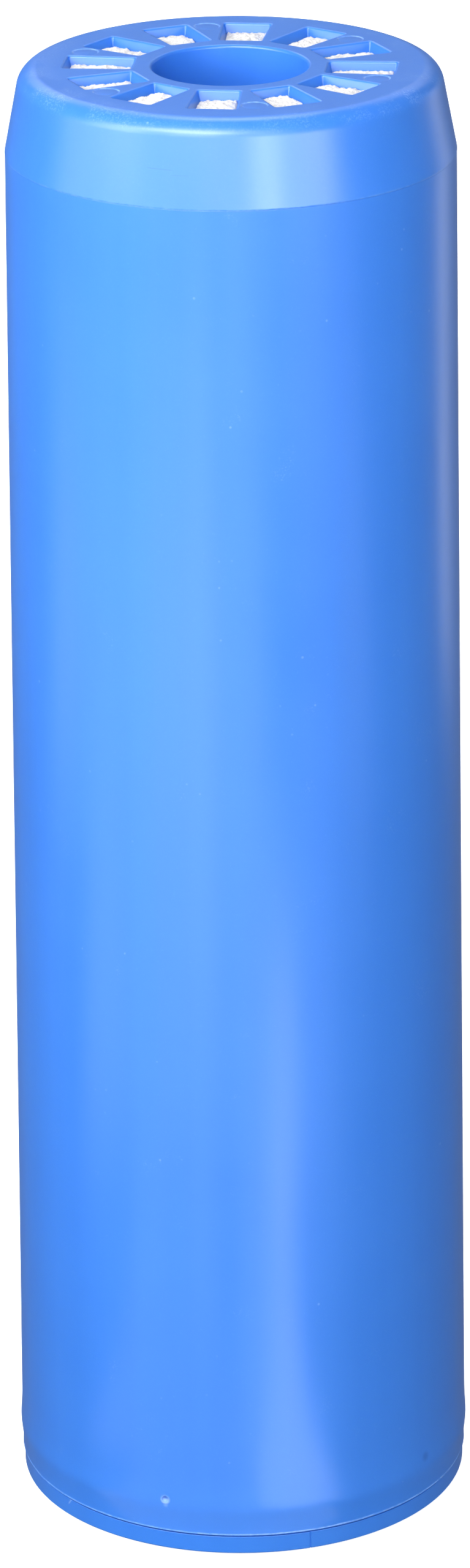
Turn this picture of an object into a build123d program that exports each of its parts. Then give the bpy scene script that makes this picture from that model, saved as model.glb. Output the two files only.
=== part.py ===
from build123d import *
import os
from math import cos, sin, tan, radians

# ----------------------------------------------------------------------
# Drop-in granular media cartridge for a standard 10 inch filter housing.
# Millimetres. +Z up, origin at the centre of the outlet end's foot ring,
# which is the face that the cartridge stands on. Inlet end up.
# ----------------------------------------------------------------------

# Overall
overall_height = 247.65        # 9-3/4 in, the standard cartridge length
lower_seam_z = 3.5             # outlet end cap meets the canister tube
upper_seam_z = 233.8           # canister tube meets the inlet cap

# Canister tube
draft_deg = 0.5                # moulding draft: the tube widens downwards
tube_top_r = 36.15             # outer radius at the upper seam
tube_wall = 2.0
foot_straight_z = 5.4          # the short straight foot ends here
foot_r = 38.0                  # outer radius of that foot
bulge_z = 8.3                  # height of the slight swell above the foot
bulge_r = 38.24
bulge_end_z = 13.2             # the swell runs out into the taper here
seam_break = 0.22              # small chamfers that make the seam grooves

# Inlet cap
cap_cone_deg = 10.6            # half-angle of the cap's conical edge
cap_lip = 0.08                 # the cap's lower edge overhangs the tube by this
cap_wall = 2.1
cap_plate = 2.2                # thickness of the flat slotted face
cap_shoulder_fillet = 3.4
spigot_length = 8.0            # plugs down into the tube
spigot_wall = 1.6
fit_gap = 0.06                 # all-round clearance of the plugged fits

# Central cup (centring recess) in the inlet cap
cup_r = 12.5
cup_wall = 1.6
cup_depth = 22.0
cup_floor = 1.6
cup_rim_fillet = 0.5

# Inlet slots
slot_count = 12
slot_inner_r = 15.7
slot_outer_r = 26.5
slot_inner_width = 6.7
slot_outer_width = 7.6
slot_corner_r = 0.4
slot_draft = 0.55              # each wall leans in this much through the plate
slot_edge_fillet = 0.35

# Ejector witness rings on the slotted face
witness_count = 6
witness_pitch_r = 25.0
witness_r = 2.1
witness_line = 0.22
witness_depth = 0.15
witness_start_deg = 45.0       # midway between two slots

# Gate pit low on the tube
gate_pit_deg = -103.85
gate_pit_z = 9.5
gate_pit_r = 0.7
gate_pit_depth = 0.5

# Media and pads
inlet_felt_t = 5.0
inlet_felt_r = 31.2
felt_boss_h = 0.8              # the felt swells this far up into each slot
foam_t = 12.0
pad_gap = 0.05
outlet_felt_t = 6.0

# Outlet end cap
plug_length = 12.0             # the plug skirt's height above the lower seam
plug_wall = 1.8
band_step = 0.1                # the band sits this far inside the tube foot
foot_ring_inner_r = 34.6
face_recess = 1.2              # the outlet face sits this far above the foot ring
face_plate = 2.4
bore_r = 12.7
neck_wall = 2.0
rib_count = 8
rib_t = 1.8

# Gasket
gasket_inner_r = 13.5
gasket_outer_r = 23.0
gasket_t = 3.0
gasket_recess = 0.6            # its face sits this far above the foot ring

# Outlet support grid
grid_t = 2.2
grid_rings = ((8.0, 6, 6.0), (15.4, 12, 6.2), (22.8, 18, 6.2), (29.9, 24, 5.8))
grid_slot_w = 2.4

# ----------------------------------------------------------------------
# Derived sizes
# ----------------------------------------------------------------------
top_z = overall_height
taper = tan(radians(draft_deg))
cone = tan(radians(cap_cone_deg))


def tube_outer_r(z):
    return tube_top_r + (upper_seam_z - z) * taper


def tube_inner_r(z):
    return tube_outer_r(z) - tube_wall


def cap_outer_r(z):
    return tube_top_r - (z - upper_seam_z) * cone


plate_under_z = top_z - cap_plate
spigot_end_z = upper_seam_z - spigot_length
cup_floor_z = top_z - cup_depth
cup_under_z = cup_floor_z - cup_floor
cup_outer_r = cup_r + cup_wall
plug_top_z = lower_seam_z + plug_length
grid_top_z = plug_top_z + grid_t
outlet_felt_top_z = grid_top_z + outlet_felt_t
inlet_felt_z = plate_under_z - inlet_felt_t
foam_z = inlet_felt_z - foam_t
neck_outer_r = bore_r + neck_wall
gasket_seat_z = gasket_recess + gasket_t
gasket_seat_r = gasket_outer_r + 0.4
gasket_wall_r = gasket_seat_r + 2.0
face_top_z = face_recess + face_plate
seat_top_z = gasket_seat_z + 2.2

# ----------------------------------------------------------------------
# Canister tube: an open tapered shell with a swell at its foot
# ----------------------------------------------------------------------
with BuildPart() as canister_tube:
    with BuildSketch(Plane.XZ) as tube_section:
        with BuildLine() as tube_line:
            Polyline(
                (foot_r, foot_straight_z),
                (foot_r, lower_seam_z + seam_break),
                (foot_r - seam_break, lower_seam_z),
                (tube_inner_r(lower_seam_z), lower_seam_z),
                (tube_inner_r(upper_seam_z), upper_seam_z),
                (tube_top_r - seam_break, upper_seam_z),
                (tube_outer_r(upper_seam_z - seam_break), upper_seam_z - seam_break),
                (tube_outer_r(bulge_end_z), bulge_end_z),
            )
            ThreePointArc(
                (tube_outer_r(bulge_end_z), bulge_end_z),
                (bulge_r, bulge_z),
                (foot_r, foot_straight_z),
            )
        make_face()
    revolve(axis=Axis.Z)
    # round gate pit low on the wall
    pit_x = foot_r * cos(radians(gate_pit_deg))
    pit_y = foot_r * sin(radians(gate_pit_deg))
    pit_plane = Plane(
        origin=(pit_x * 1.03, pit_y * 1.03, gate_pit_z),
        x_dir=(0, 0, 1),
        z_dir=(-cos(radians(gate_pit_deg)), -sin(radians(gate_pit_deg)), 0),
    )
    with BuildSketch(pit_plane):
        Circle(gate_pit_r)
    extrude(
        amount=foot_r * 1.03 - bulge_r + gate_pit_depth,
        mode=Mode.SUBTRACT,
    )

# ----------------------------------------------------------------------
# Slot cutter: one drafted trapezoid, wider towards the rim
# ----------------------------------------------------------------------
with BuildPart() as slot_cutter:
    for level, shrink in ((top_z + 0.02, 0.0), (plate_under_z - 0.3, slot_draft)):
        with BuildSketch(Plane.XY.offset(level)):
            with BuildLine():
                Polyline(
                    (slot_inner_r + shrink, -slot_inner_width / 2 + shrink),
                    (slot_outer_r - shrink, -slot_outer_width / 2 + shrink),
                    (slot_outer_r - shrink, slot_outer_width / 2 - shrink),
                    (slot_inner_r + shrink, slot_inner_width / 2 - shrink),
                    close=True,
                )
            face = make_face()
            fillet(face.vertices(), slot_corner_r)
    loft()

# ----------------------------------------------------------------------
# Inlet cap: cone-edged plate with slots, a blind central cup and a spigot
# ----------------------------------------------------------------------
with BuildPart() as slotted_inlet_cap:
    with BuildSketch(Plane.XZ):
        with BuildLine():
            Polyline(
                (cup_r, top_z),
                (cap_outer_r(top_z), top_z),
                (tube_top_r + cap_lip - 0.1, upper_seam_z + 0.85),
                (tube_top_r + cap_lip, upper_seam_z + 0.15),
                (tube_top_r + cap_lip - 0.15, upper_seam_z),
                (tube_inner_r(upper_seam_z) - fit_gap, upper_seam_z),
                (tube_inner_r(spigot_end_z) - fit_gap - 0.15, spigot_end_z),
                (tube_inner_r(spigot_end_z) - fit_gap - spigot_wall, spigot_end_z),
                (
                    tube_inner_r(upper_seam_z) - fit_gap - spigot_wall,
                    upper_seam_z - 0.5,
                ),
                (cap_outer_r(plate_under_z) - cap_wall, plate_under_z),
                (cup_outer_r, plate_under_z),
                (cup_outer_r, cup_under_z),
                (0, cup_under_z),
                (0, cup_floor_z),
                (cup_r, cup_floor_z),
                close=True,
            )
        make_face()
    revolve(axis=Axis.Z)
    # soft shoulder where the cone turns into the flat face
    shoulder = (
        slotted_inlet_cap.edges()
        .filter_by(GeomType.CIRCLE)
        .group_by(Axis.Z)[-1]
        .sort_by(SortBy.RADIUS)[-1]
    )
    fillet(shoulder, cap_shoulder_fillet)
    with PolarLocations(0, slot_count):
        add(slot_cutter.part, mode=Mode.SUBTRACT)
    # soft upper edges of the cup's mouth and of every slot
    mouth = (
        slotted_inlet_cap.edges()
        .filter_by(GeomType.CIRCLE)
        .filter_by(lambda e: abs(e.center().Z - top_z) < 0.01)
        .filter_by(lambda e: abs(e.radius - cup_r) < 0.01)
    )
    fillet(mouth, cup_rim_fillet)
    slot_rims = slotted_inlet_cap.edges().filter_by(
        lambda e: abs(e.bounding_box().min.Z - top_z) < 0.001
        and abs(e.bounding_box().max.Z - top_z) < 0.001
        and slot_inner_r - 1 < (e.center().X ** 2 + e.center().Y ** 2) ** 0.5 < slot_outer_r + 1
        and e.length < 15
    )
    fillet(slot_rims, slot_edge_fillet)
    # shallow witness rings between the slots
    with BuildSketch(Plane.XY.offset(top_z)):
        with PolarLocations(witness_pitch_r, witness_count, start_angle=witness_start_deg):
            Circle(witness_r)
            Circle(witness_r - witness_line, mode=Mode.SUBTRACT)
    extrude(amount=-witness_depth, mode=Mode.SUBTRACT)

# ----------------------------------------------------------------------
# Inlet felt pad: a washer that swells a little into each slot
# ----------------------------------------------------------------------
with BuildPart() as inlet_felt_pad:
    with BuildSketch(Plane.XY.offset(inlet_felt_z)):
        Circle(inlet_felt_r)
        Circle(cup_outer_r + pad_gap, mode=Mode.SUBTRACT)
    extrude(amount=inlet_felt_t - pad_gap)
    with BuildSketch(Plane.XY.offset(plate_under_z - pad_gap)) as boss_sketch:
        with PolarLocations(0, slot_count):
            with BuildLine(mode=Mode.PRIVATE) as boss_line:
                Polyline(
                    (slot_inner_r + 1.0, -slot_inner_width / 2 + 1.0),
                    (slot_outer_r - 1.0, -slot_outer_width / 2 + 1.0),
                    (slot_outer_r - 1.0, slot_outer_width / 2 - 1.0),
                    (slot_inner_r + 1.0, slot_inner_width / 2 - 1.0),
                    close=True,
                )
            add(make_face(boss_line.edges(), mode=Mode.PRIVATE))
    extrude(amount=felt_boss_h, taper=25)

# ----------------------------------------------------------------------
# Expansion foam pad: a foam ring round the cup, under the felt
# ----------------------------------------------------------------------
foam_r = tube_inner_r(upper_seam_z) - fit_gap - spigot_wall - pad_gap
with BuildPart() as expansion_foam_pad:
    with BuildSketch(Plane.XZ):
        with BuildLine():
            Polyline(
                (cup_outer_r + pad_gap, foam_z),
                (foam_r, foam_z),
                (foam_r, upper_seam_z - 0.6),
                (inlet_felt_r, inlet_felt_z),
                (cup_outer_r + pad_gap, inlet_felt_z),
                close=True,
            )
        make_face()
    revolve(axis=Axis.Z)

# ----------------------------------------------------------------------
# Media bed: fills the canister from the outlet felt up to the foam
# ----------------------------------------------------------------------
with BuildPart() as carbon_bed:
    with BuildSketch(Plane.XZ):
        with BuildLine():
            Polyline(
                (0, outlet_felt_top_z),
                (tube_inner_r(outlet_felt_top_z) - pad_gap, outlet_felt_top_z),
                (tube_inner_r(spigot_end_z) - pad_gap, spigot_end_z - 0.4),
                (foam_r, spigot_end_z - 0.4),
                (foam_r, foam_z),
                (cup_outer_r + pad_gap, foam_z),
                (cup_outer_r + pad_gap, cup_under_z),
                (0, cup_under_z),
                close=True,
            )
        make_face()
    revolve(axis=Axis.Z)

# ----------------------------------------------------------------------
# Outlet felt pad: a disc that holds back fines
# ----------------------------------------------------------------------
with BuildPart() as outlet_felt_pad:
    with BuildSketch(Plane.XY.offset(grid_top_z)):
        Circle(tube_inner_r(outlet_felt_top_z) - pad_gap)
    extrude(amount=outlet_felt_t)
    fillet(outlet_felt_pad.edges().filter_by(GeomType.CIRCLE), 0.6)

# ----------------------------------------------------------------------
# Outlet support grid: a disc with rings of short radial slots
# ----------------------------------------------------------------------
with BuildPart() as outlet_support_grid:
    with BuildSketch(Plane.XY.offset(plug_top_z)):
        Circle(tube_inner_r(grid_top_z) - 0.15)
        for ring_r, ring_n, ring_len in grid_rings:
            with PolarLocations(ring_r, ring_n):
                RectangleRounded(ring_len, grid_slot_w, 0.5, mode=Mode.SUBTRACT)
    extrude(amount=grid_t)

# ----------------------------------------------------------------------
# Outlet end cap: foot ring, plug skirt, recessed face, gasket seat, neck
# ----------------------------------------------------------------------
with BuildPart() as outlet_end_cap:
    with BuildSketch(Plane.XZ):
        with BuildLine():
            Polyline(
                (foot_ring_inner_r, 0),
                (foot_r - 0.42, 0),
                (foot_r - band_step, 0.3),
                (foot_r - band_step, lower_seam_z - seam_break),
                (foot_r - band_step - seam_break, lower_seam_z),
                (tube_inner_r(lower_seam_z) - fit_gap, lower_seam_z),
                (tube_inner_r(plug_top_z) - fit_gap - 0.1, plug_top_z - 0.4),
                (tube_inner_r(plug_top_z) - fit_gap - 0.5, plug_top_z),
                (tube_inner_r(plug_top_z) - fit_gap - plug_wall, plug_top_z),
                (tube_inner_r(plug_top_z) - fit_gap - plug_wall, face_top_z),
                (gasket_wall_r, face_top_z),
                (gasket_wall_r, seat_top_z),
                (neck_outer_r, seat_top_z),
                (neck_outer_r, plug_top_z),
                (bore_r, plug_top_z),
                (bore_r, gasket_seat_z),
                (gasket_seat_r, gasket_seat_z),
                (gasket_seat_r, face_recess),
                (foot_ring_inner_r - 0.5, face_recess),
                close=True,
            )
        make_face()
    revolve(axis=Axis.Z)
    # radial ribs between the neck and the skirt carry the support grid
    with BuildSketch(Plane.XY.offset(face_top_z)):
        with PolarLocations(0, rib_count):
            with Locations(((neck_outer_r + 34.5) / 2 - 0.1, 0)):
                Rectangle(34.5 - neck_outer_r + 0.2, rib_t)
    extrude(amount=plug_top_z - face_top_z)

# ----------------------------------------------------------------------
# Outlet gasket: a flat rubber washer in the outlet face's seat
# ----------------------------------------------------------------------
with BuildPart() as outlet_gasket:
    with BuildSketch(Plane.XY.offset(gasket_recess)):
        Circle(gasket_outer_r)
        Circle(gasket_inner_r, mode=Mode.SUBTRACT)
    extrude(amount=gasket_t)
    fillet(outlet_gasket.edges().filter_by(GeomType.CIRCLE), 0.35)

# ----------------------------------------------------------------------
# Labels and files: one solid and one file for each piece
# ----------------------------------------------------------------------
os.makedirs("parts", exist_ok=True)

canister_tube.part.label = "canister_tube"
slotted_inlet_cap.part.label = "slotted_inlet_cap"
inlet_felt_pad.part.label = "inlet_felt_pad"
expansion_foam_pad.part.label = "expansion_foam_pad"
carbon_bed.part.label = "carbon_bed"
outlet_felt_pad.part.label = "outlet_felt_pad"
outlet_support_grid.part.label = "outlet_support_grid"
outlet_end_cap.part.label = "outlet_end_cap"
outlet_gasket.part.label = "outlet_gasket"

export_step(canister_tube.part, "parts/canister_tube.step")
export_step(slotted_inlet_cap.part, "parts/slotted_inlet_cap.step")
export_step(inlet_felt_pad.part, "parts/inlet_felt_pad.step")
export_step(expansion_foam_pad.part, "parts/expansion_foam_pad.step")
export_step(carbon_bed.part, "parts/carbon_bed.step")
export_step(outlet_felt_pad.part, "parts/outlet_felt_pad.step")
export_step(outlet_support_grid.part, "parts/outlet_support_grid.step")
export_step(outlet_end_cap.part, "parts/outlet_end_cap.step")
export_step(outlet_gasket.part, "parts/outlet_gasket.step")
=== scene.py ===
import bpy
import bmesh
import math
import numpy as np
from mathutils import Vector, Matrix


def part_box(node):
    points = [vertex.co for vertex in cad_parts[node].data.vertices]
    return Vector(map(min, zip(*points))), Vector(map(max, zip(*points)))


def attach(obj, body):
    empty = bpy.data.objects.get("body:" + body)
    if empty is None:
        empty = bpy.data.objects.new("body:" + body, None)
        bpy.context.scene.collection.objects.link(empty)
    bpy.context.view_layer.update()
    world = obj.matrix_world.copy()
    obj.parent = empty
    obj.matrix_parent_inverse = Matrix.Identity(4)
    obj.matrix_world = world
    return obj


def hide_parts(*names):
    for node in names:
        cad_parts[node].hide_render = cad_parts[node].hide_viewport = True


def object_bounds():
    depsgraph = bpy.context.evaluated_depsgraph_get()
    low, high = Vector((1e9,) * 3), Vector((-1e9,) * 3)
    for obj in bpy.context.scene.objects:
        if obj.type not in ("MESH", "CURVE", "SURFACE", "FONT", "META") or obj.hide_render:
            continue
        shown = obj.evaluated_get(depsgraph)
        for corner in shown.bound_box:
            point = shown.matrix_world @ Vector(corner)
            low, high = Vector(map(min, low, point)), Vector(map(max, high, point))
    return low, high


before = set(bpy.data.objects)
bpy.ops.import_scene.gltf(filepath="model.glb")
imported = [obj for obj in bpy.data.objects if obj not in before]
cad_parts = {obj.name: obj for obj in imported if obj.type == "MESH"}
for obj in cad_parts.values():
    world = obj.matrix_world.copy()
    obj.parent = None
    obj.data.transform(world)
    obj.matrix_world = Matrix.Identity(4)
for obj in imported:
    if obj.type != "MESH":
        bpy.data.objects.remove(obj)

cad_lo, cad_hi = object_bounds()
rng = np.random.default_rng(20240607)
MM = 0.001

# ----------------------------------------------------------------------------
# sizes, in millimetres, as the frame has them
# ----------------------------------------------------------------------------
H = cad_hi.z * 1000.0
Z1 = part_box("canister_tube")[0].z * 1000.0          # lower seam
Z2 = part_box("canister_tube")[1].z * 1000.0          # upper seam
TAPER = math.tan(math.radians(0.5))
R_TOP = 36.15
WALL = 2.0
R_FOOT = 38.0
CUP_R = 12.5
PLATE = 2.2
GROW = 0.15                                         # outer skins stand this much proud of the frame
VIEW_AZ = 6.4                                       # the photograph's azimuth


def tube_out(z):
    return R_TOP + (Z2 - z) * TAPER


def tube_in(z):
    return tube_out(z) - WALL


def plan(a):
    """Plan angle, in radians, of an angle seen from the camera, positive to the right."""
    return math.radians(VIEW_AZ + a - 90.0)


# ----------------------------------------------------------------------------
# smooth value noise in numpy, seeded, periodic in nothing
# ----------------------------------------------------------------------------
_lat = np.random.default_rng(7).random((64, 64, 64))


def vnoise(p):
    """Trilinear value noise in 0..1 at points p (n, 3)."""
    i = np.floor(p).astype(int)
    f = p - i
    f = f * f * (3 - 2 * f)
    out = np.zeros(len(p))
    for dx in (0, 1):
        for dy in (0, 1):
            for dz in (0, 1):
                w = (
                    (f[:, 0] if dx else 1 - f[:, 0])
                    * (f[:, 1] if dy else 1 - f[:, 1])
                    * (f[:, 2] if dz else 1 - f[:, 2])
                )
                out += w * _lat[(i[:, 0] + dx) % 64, (i[:, 1] + dy) % 64, (i[:, 2] + dz) % 64]
    return out


def cells(p, seed=1):
    """Distance to the nearest and second nearest jittered cell point, in cell units."""
    jit = np.random.default_rng(seed).random((32, 32, 32, 3)) * 0.8 + 0.1
    i = np.floor(p).astype(int)
    f1 = np.full(len(p), 9.0)
    f2 = np.full(len(p), 9.0)
    for dx in (-1, 0, 1):
        for dy in (-1, 0, 1):
            for dz in (-1, 0, 1):
                c = i + (dx, dy, dz)
                q = c + jit[c[:, 0] % 32, c[:, 1] % 32, c[:, 2] % 32]
                d = np.linalg.norm(p - q, axis=1)
                f2 = np.where(d < f1, f1, np.minimum(f2, d))
                f1 = np.minimum(f1, d)
    return f1, f2


# ----------------------------------------------------------------------------
# mesh helpers
# ----------------------------------------------------------------------------
def obj_from(name, verts, faces):
    me = bpy.data.meshes.new(name)
    me.from_pydata([tuple(v) for v in verts], [], faces)
    me.validate()
    ob = bpy.data.objects.new(name, me)
    bpy.context.scene.collection.objects.link(ob)
    return ob


def tidy(ob, dist=3e-4):
    """Removes the slivers that a cut can leave, in mm."""
    bm = bmesh.new()
    bm.from_mesh(ob.data)
    bmesh.ops.remove_doubles(bm, verts=bm.verts, dist=dist)
    bmesh.ops.dissolve_degenerate(bm, edges=bm.edges, dist=dist)
    bm.to_mesh(ob.data)
    bm.free()


def fix_normals(ob):
    bm = bmesh.new()
    bm.from_mesh(ob.data)
    bmesh.ops.recalc_face_normals(bm, faces=bm.faces)
    bm.to_mesh(ob.data)
    bm.free()


def shade(ob, deg=32.0):
    for p in ob.data.polygons:
        p.use_smooth = True
    ob.data.set_sharp_from_angle(angle=math.radians(deg))


def weighted(ob):
    m = ob.modifiers.new("weighted", "WEIGHTED_NORMAL")
    m.mode = "FACE_AREA"
    m.weight = 50
    m.keep_sharp = True
    apply_mods(ob)


def apply_mods(ob):
    dg = bpy.context.evaluated_depsgraph_get()
    me = bpy.data.meshes.new_from_object(ob.evaluated_get(dg), preserve_all_data_layers=True, depsgraph=dg)
    ob.modifiers.clear()
    old = ob.data
    ob.data = me
    bpy.data.meshes.remove(old)


def angles_with(n, extra=()):
    a = list(np.arange(n) * 2 * math.pi / n)
    for e in extra:
        a.append(e % (2 * math.pi))
    a = np.array(sorted(a))
    keep = [a[0]]
    for x in a[1:]:
        if x - keep[-1] > 1e-5:
            keep.append(x)
    return np.array(keep)


def lathe_grid(profile, ang):
    """Verts and quads of a closed section turned about Z. profile: (r, z) pairs in mm, closed, r > 0."""
    prof = np.array(profile, float)
    m, n = len(prof), len(ang)
    R = prof[:, 0][:, None]
    Zc = prof[:, 1][:, None]
    V = np.stack(
        [R * np.cos(ang)[None, :], R * np.sin(ang)[None, :], np.broadcast_to(Zc, (m, n))], axis=-1
    ).reshape(-1, 3)
    F = []
    for i in range(m):
        a, b = i * n, ((i + 1) % m) * n
        for j in range(n):
            k = (j + 1) % n
            F.append((a + j, a + k, b + k, b + j))
    return V, F


def solid_lathe(profile, ang):
    """As lathe_grid for an open section that starts and ends on the axis (r = 0 at both ends)."""
    prof = np.array(profile, float)
    m, n = len(prof), len(ang)
    V = [(0, 0, prof[0, 1])]
    for r, z in prof[1:-1]:
        for t in ang:
            V.append((r * math.cos(t), r * math.sin(t), z))
    V.append((0, 0, prof[-1, 1]))
    F = []
    last = len(V) - 1
    for j in range(n):
        F.append((0, 1 + (j + 1) % n, 1 + j))
    for i in range(m - 3):
        a, b = 1 + i * n, 1 + (i + 1) * n
        for j in range(n):
            k = (j + 1) % n
            F.append((a + j, a + k, b + k, b + j))
    a = 1 + (m - 3) * n
    for j in range(n):
        F.append((last, a + j, a + (j + 1) % n))
    return np.array(V, float), F


def arc(cx, cz, r, a0, a1, n):
    """Points on an arc in the (r, z) half plane, angles in degrees."""
    return [
        (cx + r * math.cos(math.radians(a)), cz + r * math.sin(math.radians(a)))
        for a in np.linspace(a0, a1, n)
    ]


def rounded(poly, radii, n=5):
    """A closed polygon of (r, z) points with each corner rounded by its own radius."""
    out = []
    m = len(poly)
    for i in range(m):
        p0, p1, p2 = (np.array(poly[k % m], float) for k in (i - 1, i, i + 1))
        r = radii[i]
        if r <= 0:
            out.append(tuple(p1))
            continue
        u, v = p0 - p1, p2 - p1
        lu, lv = np.linalg.norm(u), np.linalg.norm(v)
        u, v = u / lu, v / lv
        ang = math.acos(max(-1, min(1, float(u @ v))))
        t = min(r / math.tan(ang / 2), 0.49 * lu, 0.49 * lv)
        r = t * math.tan(ang / 2)
        bis = (u + v) / np.linalg.norm(u + v)
        c = p1 + bis * (r / math.sin(ang / 2))
        a, b = p1 + u * t, p1 + v * t
        a0 = math.atan2(*(a - c)[::-1])
        a1 = math.atan2(*(b - c)[::-1])
        d = (a1 - a0 + math.pi) % (2 * math.pi) - math.pi
        for k in range(n + 1):
            th = a0 + d * k / n
            out.append((c[0] + r * math.cos(th), c[1] + r * math.sin(th)))
    return out


def dense(profile, step, closed=True):
    """Adds points on long straight runs of a profile."""
    out = []
    m = len(profile)
    for i in range(m if closed else m - 1):
        a = np.array(profile[i], float)
        b = np.array(profile[(i + 1) % m], float)
        out.append(tuple(a))
        k = int(np.linalg.norm(b - a) // step)
        for s in range(1, k + 1):
            if s / (k + 1) < 1:
                out.append(tuple(a + (b - a) * s / (k + 1)))
    if not closed:
        out.append(tuple(profile[-1]))
    return out


def boolean(ob, cutter, op="DIFFERENCE"):
    m = ob.modifiers.new("cut", "BOOLEAN")
    m.operation = op
    m.solver = "EXACT"
    m.object = cutter
    apply_mods(ob)
    bpy.data.objects.remove(cutter)


def finish_piece(ob, node, mats):
    ob.data.transform(Matrix.Scale(MM, 4))
    ob.data.materials.clear()
    for m in mats if isinstance(mats, (list, tuple)) else [mats]:
        ob.data.materials.append(m)
    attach(ob, "root")
    if node:
        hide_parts(node)
    return ob


# ----------------------------------------------------------------------------
# node helpers
# ----------------------------------------------------------------------------
class Tree:
    def __init__(self, name):
        self.mat = bpy.data.materials.new(name)
        self.mat.use_nodes = True
        self.nt = self.mat.node_tree
        self.nt.nodes.clear()
        self.out = self.nt.nodes.new("ShaderNodeOutputMaterial")
        self.bsdf = self.nt.nodes.new("ShaderNodeBsdfPrincipled")
        self.nt.links.new(self.bsdf.outputs[0], self.out.inputs[0])
        self.coord = self.nt.nodes.new("ShaderNodeTexCoord").outputs["Object"]

    def link(self, a, b):
        self.nt.links.new(a, b)

    def set(self, **kw):
        for k, v in kw.items():
            self.bsdf.inputs[k.replace("_", " ")].default_value = v

    def node(self, kind, **props):
        n = self.nt.nodes.new(kind)
        for k, v in props.items():
            setattr(n, k, v)
        return n

    def _in(self, sock, v):
        if isinstance(v, (int, float)):
            sock.default_value = v
        elif isinstance(v, (tuple, list)):
            sock.default_value = v
        else:
            self.link(v, sock)

    def scale(self, vec, s):
        n = self.node("ShaderNodeMapping")
        self.link(vec, n.inputs[0])
        n.inputs["Scale"].default_value = s
        return n.outputs[0]

    def noise(self, vec, scale, detail=3.0, rough=0.55, distort=0.0):
        n = self.node("ShaderNodeTexNoise")
        self.link(vec, n.inputs["Vector"])
        n.inputs["Scale"].default_value = scale
        n.inputs["Detail"].default_value = detail
        n.inputs["Roughness"].default_value = rough
        n.inputs["Distortion"].default_value = distort
        return n.outputs["Fac"]

    def voronoi(self, vec, scale, feature="F1", out="Distance"):
        n = self.node("ShaderNodeTexVoronoi", feature=feature)
        self.link(vec, n.inputs["Vector"])
        n.inputs["Scale"].default_value = scale
        return n.outputs[out]

    def math(self, op, a, b=0.0, clamp=False):
        n = self.node("ShaderNodeMath", operation=op, use_clamp=clamp)
        self._in(n.inputs[0], a)
        self._in(n.inputs[1], b)
        return n.outputs[0]

    def remap(self, v, a, b, c, d, smooth=False):
        n = self.node("ShaderNodeMapRange")
        n.clamp = True
        if smooth:
            n.interpolation_type = "SMOOTHSTEP"
        self.link(v, n.inputs["Value"])
        for k, x in zip(("From Min", "From Max", "To Min", "To Max"), (a, b, c, d)):
            self._in(n.inputs[k], x)
        return n.outputs["Result"]

    def mix(self, f, a, b):
        n = self.node("ShaderNodeMix", data_type="RGBA")
        self._in(n.inputs["Factor"], f)
        self._in(n.inputs["A"], a)
        self._in(n.inputs["B"], b)
        return n.outputs["Result"]

    def xyz(self):
        n = self.node("ShaderNodeSeparateXYZ")
        self.link(self.coord, n.inputs[0])
        return n.outputs

    def bump(self, h, dist, strength=1.0, prev=None):
        n = self.node("ShaderNodeBump")
        n.inputs["Strength"].default_value = strength
        n.inputs["Distance"].default_value = dist
        self.link(h, n.inputs["Height"])
        if prev is not None:
            self.link(prev, n.inputs["Normal"])
        return n.outputs[0]


BLUE = (0.040, 0.200, 0.715, 1.0)
BLUE_DEEP = (0.035, 0.185, 0.680, 1.0)
BLUE_PALE = (0.072, 0.255, 0.790, 1.0)


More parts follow.
